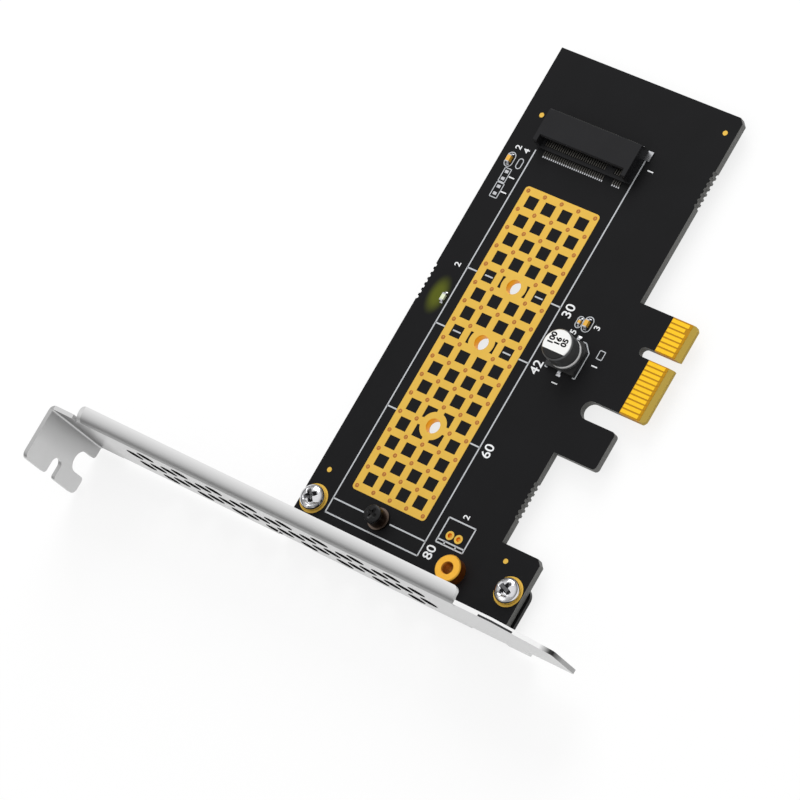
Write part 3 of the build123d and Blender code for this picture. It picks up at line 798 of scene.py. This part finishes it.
@dataclass
class CircuitBoard(SubAssembly):
    """Board, copper and plating.

    The via profiles are shares of the via's radius and heights over the copper.
    """

    via_pitch: float = 4.0
    via_first: Point = (19.4, 47.1)
    via_count: tuple[int, int] = (17, 5)
    via_radius: float = 0.44
    ring: tuple[Point, ...] = (
        (1.0, -0.01), (1.0, 0.004), (0.85, 0.016), (0.55, 0.014), (0.5, -0.01), (1.0, -0.01),
    )
    fill: tuple[Point, ...] = ((0.0, -0.01), (0.5, -0.01), (0.5, 0.007), (0.0, 0.003))
    ring_segments: int = 14
    fill_segments: int = 10
    hole_radius: float = 1.5
    pad_radius: float = 2.8
    plating: float = 0.05
    plating_z: Span = (BOARD_BACK + 0.001, COPPER_TOP - 0.001)
    plating_bevel: Point = (0.015, 0.04)
    plating_segments: int = 48
    header: tuple[Point, ...] = ((-45.65, 23.9), (-45.65, 21.9))
    header_radius: float = 0.475

    def vias(self) -> None:
        """Filled heat vias at the grid's crossings: a raised ring round a sunken fill."""
        spans = zip(self.via_first, self.via_count)
        x, y = (first - self.via_pitch * np.arange(count) for first, count in spans)
        places = np.stack(np.meshgrid(x, y), -1).reshape(-1, 2)
        holes = np.array([(hole, BAY_Y) for hole in HOLE_X])
        far = np.linalg.norm(places[:, None] - holes[None], axis=2).min(1)
        places = places[far > self.pad_radius].tolist()
        for name, profile, segments, finish in (
            ("via_rings", self.ring, self.ring_segments, VIA_COPPER),
            ("via_fills", self.fill, self.fill_segments, VIA_FILL),
        ):
            section = np.array(profile) * (self.via_radius, 1.0) + (0.0, COPPER_TOP)
            surface = gathered([turned(section, place, segments) for place in places])
            report(mesh_piece(name, *surface, finish, True), "gold_soft")

    def barrels(self) -> None:
        """Plated walls of the module screw holes and of the header holes."""
        holes = [(x, BAY_Y, self.hole_radius) for x in HOLE_X]
        holes += [(x, y, self.header_radius) for x, y in self.header]
        low, high = self.plating_z
        aside, down = self.plating_bevel
        sleeves = []
        for x, y, radius in holes:
            inner, outer = radius - self.plating, radius - SKIN
            wall = [(outer, low), (outer, high), (inner + aside, high), (inner, high - down)]
            wall += [(inner, low + down), (inner + aside, low), (outer, low)]
            sleeves.append(turned(np.array(wall), (x, y), self.plating_segments))
        piece = mesh_piece("hole_plating", *gathered(sleeves), BARREL_GOLD, True)
        report(piece, "gold_soft")

    def build(self) -> None:
        """Dresses the board's nodes and adds its fine copper."""
        self.dress(MASK, "circuit_board")
        self.dress(CONTACT_GOLD, "edge_contacts_front", "edge_contacts_back")
        self.dress(GRID_GOLD, "heat_grid", "screw_pads", "header_pads", "fiducial_pads")
        self.dress(TIN, "empty_site_pads")
        self.vias()
        self.barrels()


@dataclass
class PrintedLines:
    """White printing on the component side: module outline, part outlines, numbers."""

    low: float = BOARD_FRONT + 0.001
    high: float = BOARD_FRONT + 0.014
    width: float = 0.28
    fine: float = 0.18
    bold: float = 0.03
    bay_x: Span = (-51.6, 27.2)
    bay_y: Span = (27.9, 50.3)
    low_end: float = 34.3
    post_gap: float = 2.6
    tick_y: Span = (30.2, 48.0)
    window_y: Span = (33.1, 45.1)
    window_mark: float = 0.925
    header_x: Span = (-47.7, -42.6)
    header_y: Span = (19.7, 26.0)
    header_bar: float = -47.0
    header_rungs: Span = (21.6, 24.2)
    can_x: Place = (-9.8, -4.4, -2.8)
    can_y: float = 21.0
    can_reach: Box = (2.9, 3.5, 1.9, 1.1)
    can_width: float = 0.22
    # Text and X of the module lengths.
    labels: tuple[tuple[str, float], ...] = (
        ("30", 1.4), ("42", -10.6), ("60", -28.6), ("80", -50.0),
    )
    label_y: float = 25.9
    label_size: float = 2.0
    # X, Y, length and width of the round outlines and of the boxes.
    chips: tuple[Box, ...] = (
        (0.5, 20.95, 3.1, 1.9), (0.3, 22.75, 2.3, 1.3),
        (23.6, 54.3, 3.0, 1.8), (23.5, 51.9, 2.1, 1.1),
    )
    chip_points: int = 24
    boxes: tuple[Box, ...] = (
        (20.4, 53.5, 2.9, 1.5), (17.2, 53.4, 3.1, 1.7), (-3.8, 15.1, 1.7, 1.2),
    )
    # Text, X and Y of the part numbers.
    marks: tuple[Mark, ...] = (
        ("2", 26.4, 53.9), ("4", 26.3, 51.9), ("1", 20.4, 51.8), ("1", 17.2, 51.7),
        ("5", -1.8, 22.8), ("3", 0.6, 18.7), ("1", -6.2, 15.1), ("1", -12.0, 20.8),
        ("2", 1.2, 52.5), ("1", 31.6, 25.7), ("2", -41.3, 22.7),
    )
    mark_size: float = 1.3

    def can_lines(self) -> Lines:
        """Outline of the capacitor's plinth, open where the leads come out.

        Returns:
            The lines.
        """
        left, bend, right = self.can_x
        lines = []
        for side in (-1.0, 1.0):
            foot, edge, bevel, gap = (self.can_y + side * reach for reach in self.can_reach)
            lines += [(left, foot, left, edge), (left, edge, bend, edge)]
            lines += [(bend, edge, right, bevel), (right, bevel, right, gap)]
        return lines

    def bay(self) -> Lines:
        """Outline of the longest module and the cross line through its screw.

        The marks of the shorter modules stand beside it and in the grid's outer windows.

        Returns:
            The lines.
        """
        (left, right), (low, high) = self.bay_x, self.bay_y
        x, y = POST
        lines = [(left, low, self.low_end, low), (right, high, left, high)]
        lines.append((left, high, left, low))
        lines.append((x, low, x, y - self.post_gap))
        lines.append((x, y + self.post_gap, x, high))
        for x in HOLE_X:
            lines += [(x, low, x, self.tick_y[0]), (x, self.tick_y[1], x, high)]
        half = self.window_mark
        lines += [(x, y - half, x, y + half) for x in HOLE_X[:2] for y in self.window_y]
        return lines

    def header(self) -> Lines:
        """Box and bar round the two-hole header.

        Returns:
            The lines.
        """
        bar, left = self.header_bar, self.header_x[0]
        lines = frame_lines(self.header_x, self.header_y)
        lines.append((bar, self.header_y[0], bar, self.header_y[1]))
        lines += [(bar, y, left, y) for y in self.header_rungs]
        return lines

    def sites(self) -> Lines:
        """Boxes round the smallest parts.

        Returns:
            The lines.
        """
        lines = []
        for x, y, length, width in self.boxes:
            sides = (x - length / 2, x + length / 2), (y - width / 2, y + width / 2)
            lines += frame_lines(*sides)
        return lines

    def build(self) -> None:
        """Makes the lines, the outlines and the numbers."""
        heights = self.low, self.high
        parts = [slabs(self.bay() + self.header(), self.width, *heights)]
        parts.append(slabs(self.sites(), self.fine, *heights))
        parts.append(slabs(self.can_lines(), self.can_width, *heights))
        for x, y, length, width in self.chips:
            path = round_path((x, y), length, width, self.chip_points)
            parts.append(outline(path, self.fine, *heights))
        piece = mesh_piece("printed_lines", *gathered(parts), INK, False)
        report(piece, "solder_mask")
        labels = [(text, x, self.label_y, self.label_size) for text, x in self.labels]
        labels += [(text, x, y, self.mark_size) for text, x, y in self.marks]
        piece = Numbers("printed_numbers", labels, self.low, NUMBER_INK, self.bold).build()
        report(piece, "solder_mask")


@dataclass
class CrossScrew:
    """Screw with a domed head, a tapered cross recess and a rolled thread.

    The head and shank are one surface of angle and distance along the outline. In the head
    the height drops by the recess. Along the shank the radius falls by a triangle wave of
    height plus angle. seat is the height under the head and tip the shank's end below it;
    the arms' sizes are shares of the recess's reach. The sizes here are the bracket screws'.
    """

    name: str
    centre: Point
    turn: float
    seat: float = COPPER_TOP
    head_radius: float = 2.5
    head_height: float = 1.85
    edge_height: float = 0.6
    shank_radius: float = 1.5
    tip: float = -4.0
    recess: float = 1.6
    pitch: float = 0.5
    thread_share: float = 0.32
    tip_taper: float = 0.4
    dome_power: float = 2.6
    arm_width: float = 0.3
    arm_flank: float = 0.09
    arm_run: float = 0.8
    depth_share: float = 0.6
    dark_depth: float = 0.12
    dark_reach: float = 1.05
    dark_foot: float = 0.01
    head_rows: int = 40
    shank_rows: int = 60
    segments: int = 120

    def dome(self, part: np.ndarray) -> np.ndarray:
        """Height over the seat, falling with a power of the share of the head's radius."""
        rise = self.head_height - self.edge_height
        return self.edge_height + rise * np.sqrt(np.clip(1 - part**self.dome_power, 0, 1))

    def head_outline(self) -> np.ndarray:
        """Outline from the head's centre over the dome to its seat.

        Returns:
            Radius and height of each point.
        """
        part = np.linspace(0, 1, self.head_rows)
        top = np.column_stack([part * self.head_radius, self.dome(part)])
        wall = [(self.head_radius, self.edge_height / 2), (self.head_radius, 0.0)]
        return np.concatenate([top, wall])

    def shank_outline(self) -> np.ndarray:
        """Outline from the seat down to the tip.

        Returns:
            Radius and height of each point.
        """
        height = np.linspace(0, self.tip, self.shank_rows)
        taper = self.shank_radius - self.tip_taper + (height - self.tip)
        radius = np.minimum(self.shank_radius, taper)
        return np.concatenate([np.column_stack([radius, height]), [(0.0, self.tip)]])

    def cross(self, radius: np.ndarray, angle: np.ndarray) -> np.ndarray:
        """Depth of the cross: two bands across the centre that get shallower outwards.

        Args:
            radius: distance of each point from the axis.
            angle: angle of each column.

        Returns:
            Depth at each point.
        """
        reach = self.recess
        first = np.abs(radius * np.cos(angle + self.turn))
        second = np.abs(radius * np.sin(angle + self.turn))
        depth = np.zeros_like(radius)
        for along, aside in ((first, second), (second, first)):
            arm = np.clip((reach * self.arm_width - aside) / (reach * self.arm_flank), 0, 1)
            run = np.clip((reach - along) / (reach * self.arm_run), 0, 1)
            depth = np.maximum(depth, arm * run)
        return depth * self.head_height * self.depth_share

    def shade_recess(self, piece: Piece, finish: Finish) -> None:
        """Gives the faces that lie clearly below the dome the recess's finish with painted shade.

        Args:
            piece: the screw.
            finish: the metal with painted shade, as it looks down in the recess.
        """
        mesh = piece.data
        middle = np.empty(len(mesh.polygons) * 3)
        mesh.polygons.foreach_get("center", middle)
        x, y, z = middle.reshape(-1, 3).T / MM
        part = np.hypot(x - self.centre[0], y - self.centre[1]) / self.head_radius
        height = z - self.seat
        deep = self.dome(part) - height > self.head_height * self.dark_depth
        deep &= part < self.recess * self.dark_reach / self.head_radius
        deep &= height > self.dark_foot
        mesh.materials.append(finish.material())
        mesh.polygons.foreach_set("material_index", deep.astype(np.int32))

    def build(self, finish: Finish, deep: Finish, slot: str, node: str) -> None:
        """Makes the screw and lets it stand for its node.

        Args:
            finish: what the screw is made of.
            deep: that metal with painted shade, as it looks down in the recess.
            slot: not used.
            node: CAD node that the screw replaces.
        """
        head = self.head_outline()
        along = np.concatenate([head, self.shank_outline()])
        row = np.arange(len(along))[:, None]
        angle = angles(self.segments)
        radius = np.broadcast_to(along[:, :1], (len(along), self.segments)).copy()
        height = along[:, 1:] - np.where(row < len(head) - 2, self.cross(radius, angle), 0)
        threaded = (row > len(head) + 2) & (row < len(along) - 1)
        wave = thread_wave(height, angle, self.pitch) * self.thread_share * self.pitch
        radius -= np.where(threaded, wave, 0)
        points = round_points(radius, height + self.seat, angle, self.centre)
        faces = ring_faces(len(along), self.segments)
        piece = mesh_piece(self.name, points, faces, finish, True)
        self.shade_recess(piece, deep)
        report(piece, slot, node)


@dataclass
class Hardware(SubAssembly):
    """Screws, standoffs and the bracket."""

    # Name, Y and turn of the cross of each bracket screw.
    lugs: tuple[Mark, ...] = (("low", 7.1, 0.35), ("high", 54.0, 0.9))
    screw_x: float = -50.3
    module_seat: float = 3.185
    brass: Point = (-51.5, 19.5)
    thread_z: Span = (BOARD_BACK + 0.02, 2.935)
    thread_root: float = 1.245
    thread_crest: float = 1.22
    thread_depth: float = 0.16
    thread_pitch: float = 0.5
    thread_rows: int = 70
    thread_segments: int = 48

    def screws(self) -> None:
        """Two bright bracket screws and the black module screw."""
        for side, y, turn in self.lugs:
            screw = CrossScrew("bracket_screw_" + side, (self.screw_x, y), turn)
            screw.build(BRIGHT_PLATE, RECESS_NICKEL, "chrome", "bracket_screws")
        black = CrossScrew(
            "module_screw_cross", POST, turn=0.2, seat=self.module_seat, head_radius=1.8,
            head_height=0.8, edge_height=0.5, shank_radius=0.98, tip=-2.2, recess=1.15, pitch=0.4,
        )
        black.build(BLACK_OXIDE, RECESS_OXIDE, "black_screw", "module_screw")

    def brass_thread(self) -> None:
        """Thread in the brass post: the bore's radius falls by a helical triangle wave."""
        height = np.linspace(*self.thread_z, self.thread_rows)
        angle = angles(self.thread_segments)
        wave = thread_wave(height[:, None], angle, self.thread_pitch)
        inner = self.thread_crest - self.thread_depth * wave
        outer = np.full_like(inner, self.thread_root)
        radius = np.concatenate([inner, outer[::-1], inner[:1]])
        level = np.concatenate([height, height[::-1], height[:1]])[:, None]
        points = round_points(radius, level, angle, self.brass)
        faces = ring_faces(len(radius), len(angle))
        report(mesh_piece("brass_thread", points, faces, BORE_BRASS, True), "brass")

    def build(self) -> None:
        """Dresses the nodes and adds the screws and the thread."""
        self.dress(BRACKET, "io_bracket")
        self.dress(BRONZE, "module_standoff")
        self.dress(BRASS, "brass_standoff")
        self.dress(BRIGHT_PLATE, "bracket_screws")
        self.dress(BLACK_OXIDE, "module_screw")
        self.screws()
        self.brass_thread()


@dataclass
class SolderedParts(SubAssembly):
    """Module socket, capacitor and chips, with their solder.

    A ramp's three sizes are its reach, its width and its rise.
    """

    half_pitch: float = 0.25
    positions: int = 75
    keyed: tuple[int, int] = (59, 66)
    front_foot: float = 26.72
    front_ramp: Place = (0.42, 0.34, 0.12)
    back_foot: float = 35.34
    back_ramp: Place = (0.3, 0.3, 0.12)
    lead_end: float = 3.8
    lead_ramp: Place = (0.5, 1.1, 0.2)
    # X, Y, length, width and height of the chip parts.
    chips: tuple[tuple[float, float, float, float, float], ...] = (
        (0.5, 21.0, 1.6, 0.8, 0.8), (0.3, 22.6, 1.0, 0.5, 0.5),
        (23.6, 54.3, 1.6, 0.8, 0.8), (-5.7, 51.5, 1.6, 0.8, 0.55),
    )
    chip_reach: float = 0.4
    chip_rise: float = 0.6
    ramp_rows: int = 6
    ramp_foot: float = 0.02
    ramp_sides: Box = (-1.0, -0.8, 0.8, 1.0)
    # Text and place from the can's middle.
    can_labels: tuple[Mark, ...] = (("100", 0.75, 1.45), ("16", 0.55, 0.0), ("05", 0.75, -1.45))
    can_label_size: float = 1.15
    can_bold: float = 0.07

    def pin_y(self, first: int) -> np.ndarray:
        """Finds the pins of one row, without the keyed positions.

        Args:
            first: the row's first position, 1 or 2.

        Returns:
            Y of each pin.
        """
        number = np.arange(first, self.positions + 1, 2)
        number = number[(number < self.keyed[0]) | (number > self.keyed[1])]
        return BAY_Y + ((self.positions + 1) / 2 - number) * self.half_pitch

    def ramps(
        self, x: float, y: np.ndarray, way: float, reach: float, width: float, rise: float
    ) -> Surface:
        """Solder ramps: high against the part, running out along X.

        A ramp's top falls with the square of the distance from the part.

        Args:
            x: where the part's end stands.
            y: middle of each ramp.
            way: 1 or -1, the direction in which they run out.
            reach: length of a ramp.
            width: its width.
            rise: its height against the part.

        Returns:
            Points and quads.
        """
        step = np.linspace(0, 1, self.ramp_rows)
        top = BOARD_FRONT + self.ramp_foot + rise * (1 - step) ** 2
        under = np.full_like(top, BOARD_FRONT + SKIN)
        height = np.stack([under, top, top, under])
        along = np.broadcast_to(x + way * reach * step, height.shape)
        side = np.array(self.ramp_sides)[:, None] * width / 2
        corners = np.arange(len(side))
        ends = np.stack([corners, corners + len(side) * (self.ramp_rows - 1)])
        faces = np.concatenate([ring_faces(self.ramp_rows, len(side)), ends])
        parts = []
        for middle in np.atleast_1d(y).tolist():
            across = np.broadcast_to(middle + side, height.shape)
            points = np.stack([along, across, height], -1).transpose(1, 0, 2).reshape(-1, 3)
            parts.append((points, faces))
        return gathered(parts)

    def solder(self) -> None:
        """Ramps at the socket's tails, the capacitor's leads and the chips' ends."""
        parts = [
            self.ramps(self.front_foot, self.pin_y(2), -1.0, *self.front_ramp),
            self.ramps(self.back_foot, self.pin_y(1), 1.0, *self.back_ramp),
        ]
        ends = [(*CAN, self.lead_end, self.lead_ramp)]
        for x, y, length, width, height in self.chips:
            ends.append((x, y, length / 2, (self.chip_reach, width, height * self.chip_rise)))
        for x, y, half, ramp in ends:
            for way in (-1.0, 1.0):
                parts.append(self.ramps(x + way * half, np.array(y), way, *ramp))
        report(mesh_piece("solder_joints", *gathered(parts), TIN, True), "tin")

    def build(self) -> None:
        """Dresses the nodes, adds the solder and prints the can."""
        self.dress(SOCKET_BLACK, "socket_housing")
        self.dress(PIN_TIN, "socket_lower_pins", "socket_upper_pins")
        self.dress(TIN, "socket_solder_tabs", "capacitor_leads")
        self.dress(TIN, "ceramic_capacitor_ends", "status_led_ends")
        self.dress(CAN_LACQUER, "capacitor_can")
        self.dress(PLINTH, "capacitor_base")
        self.dress(CERAMIC, "ceramic_capacitor_bodies")
        self.dress(RESIN, "status_led_body")
        self.solder()
        size = self.can_label_size
        labels = [(text, CAN[0] + x, CAN[1] + y, size) for text, x, y in self.can_labels]
        piece = Numbers("can_numbers", labels, CAN_TOP, CAN_INK, self.can_bold).build()
        report(piece, "can_aluminium")


@dataclass
class Studio:
    """Floor, lamp, surroundings and camera."""

    centre: Place = (-151.833, -439.707, 719.277)
    right: Place = (0.497867, -0.755203, -0.426377)
    down: Place = (-0.855461, -0.346848, -0.384555)
    ahead: Place = (0.142529, 0.556206, -0.818731)
    focal_px: float = 4738.08
    image_px: float = 800.0
    sensor: float = 36.0
    clip_m: Span = (0.01, 20.0)
    lamp_at: Place = (712.0, 330.0, 560.0)
    lamp_aim: Place = (-5.0, 45.0, 0.0)
    lamp_up: Place = (0.0, 1.0, 0.1)
    lamp_size: float = 600.0
    lamp_power: float = 5.0
    floor_half_m: float = 2.5
    floor_white: float = 0.8
    # Height of the direction and the level of light that comes from it.
    sky: tuple[Point, ...] = ((0.0, 0.2), (0.25, 0.25), (0.7, 0.9), (1.0, 1.0))

    def floor(self, low: float) -> None:
        """Pale floor that keeps the card's shadow and reads white to the camera.

        Args:
            low: height of the floor in metres.
        """
        mesh = bpy.data.meshes.new("studio_floor")
        half = self.floor_half_m
        corners = [(-half, -half, low), (half, -half, low), (half, half, low), (-half, half, low)]
        mesh.from_pydata(corners, [], [(0, 1, 2, 3)])
        made = bpy.data.materials.new("white_floor")
        made.use_nodes = True
        tree = made.node_tree
        tree.nodes.clear()
        paper = add_node(tree, "BsdfDiffuse", {"Color": linear("FFFFFF")}).outputs[0]
        glow = {"Color": linear("FFFFFF"), "Strength": 1.0}
        white = add_node(tree, "Emission", glow).outputs[0]
        rays = add_node(tree, "LightPath", {}).outputs
        seen = rays["Is Camera Ray"]
        for ray in (rays["Is Glossy Ray"], rays["Is Transmission Ray"]):
            seen = add_node(tree, "Math", {0: seen, 1: ray}, operation="MAXIMUM").outputs[0]
        faint = {0: seen, 1: self.floor_white}
        share = add_node(tree, "Math", faint, operation="MULTIPLY").outputs[0]
        mixed = add_node(tree, "MixShader", {0: share, 1: paper, 2: white}).outputs[0]
        add_node(tree, "OutputMaterial", {0: mixed})
        mesh.materials.append(made)
        new_object("studio_floor", mesh)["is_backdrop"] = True

    def world(self) -> None:
        """Grey surroundings, dim at the horizon and brighter overhead."""
        world = bpy.data.worlds.new("studio")
        world.use_nodes = True
        tree = world.node_tree
        tree.nodes.clear()
        way = add_node(tree, "TexCoord", {}).outputs["Generated"]
        height = add_node(tree, "SeparateXYZ", {0: way}).outputs[2]
        ramp = add_node(tree, "ValToRGB", {0: height})
        stops = ramp.color_ramp.elements
        for _ in self.sky[2:]:
            stops.new(0.5)
        for stop, (place, level) in zip(stops, self.sky):
            stop.position = place
            stop.color = (level, level, level, 1.0)
        light = add_node(tree, "Background", {"Color": ramp.outputs[0], "Strength": 1.0})
        add_node(tree, "OutputWorld", {0: light.outputs[0]})
        bpy.context.scene.world = world

    def place(self, name: str, data: bpy.types.ID, turn: np.ndarray, where: Place) -> Piece:
        """Sets up a lamp or the camera.

        Args:
            name: name of the object.
            data: the lamp or camera itself.
            turn: its three axes as columns.
            where: its place.

        Returns:
            The object.
        """
        made = new_object(name, data)
        shift = Matrix.Translation(np.array(where) * MM)
        made.matrix_world = shift @ Matrix(turn.tolist()).to_4x4()
        return made

    def lamp(self) -> None:
        """Large soft lamp that faces the middle of the card."""
        data = bpy.data.lights.new("key", "AREA")
        data.shape = "SQUARE"
        data.size = self.lamp_size * MM
        data.energy = self.lamp_power
        back = np.array(self.lamp_at) - self.lamp_aim
        back /= np.linalg.norm(back)
        side = np.cross(self.lamp_up, back)
        side /= np.linalg.norm(side)
        turn = np.column_stack([side, np.cross(back, side), back])
        self.place("key", data, turn, self.lamp_at)

    def camera(self) -> None:
        """Camera at the photograph's viewing angle."""
        data = bpy.data.cameras.new("view")
        data.sensor_width = self.sensor
        data.lens = self.focal_px * self.sensor / self.image_px
        data.clip_start, data.clip_end = self.clip_m
        turn = np.column_stack([self.right, -np.array(self.down), -np.array(self.ahead)])
        bpy.context.scene.camera = self.place("view", data, turn, self.centre)

    def build(self, low: float) -> None:
        """Sets up the whole studio.

        Args:
            low: height of the floor in metres.
        """
        self.floor(low)
        self.world()
        self.lamp()
        self.camera()
        bpy.context.scene.view_settings.view_transform = "Standard"


def plain_box() -> list[list[float]]:
    """The whole object's box as plain numbers."""
    return [[float(value) for value in corner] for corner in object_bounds()]


def main() -> None:
    """Builds the card's looks in order."""
    logging.basicConfig(level=logging.INFO, format="%(message)s")
    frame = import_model()
    cad = plain_box()
    nodes = frame["nodes"]
    for part in (CircuitBoard(nodes), PrintedLines(), Hardware(nodes), SolderedParts(nodes)):
        part.build()
    Studio().build(cad[0][2])


if __name__ == "__main__":
    main()
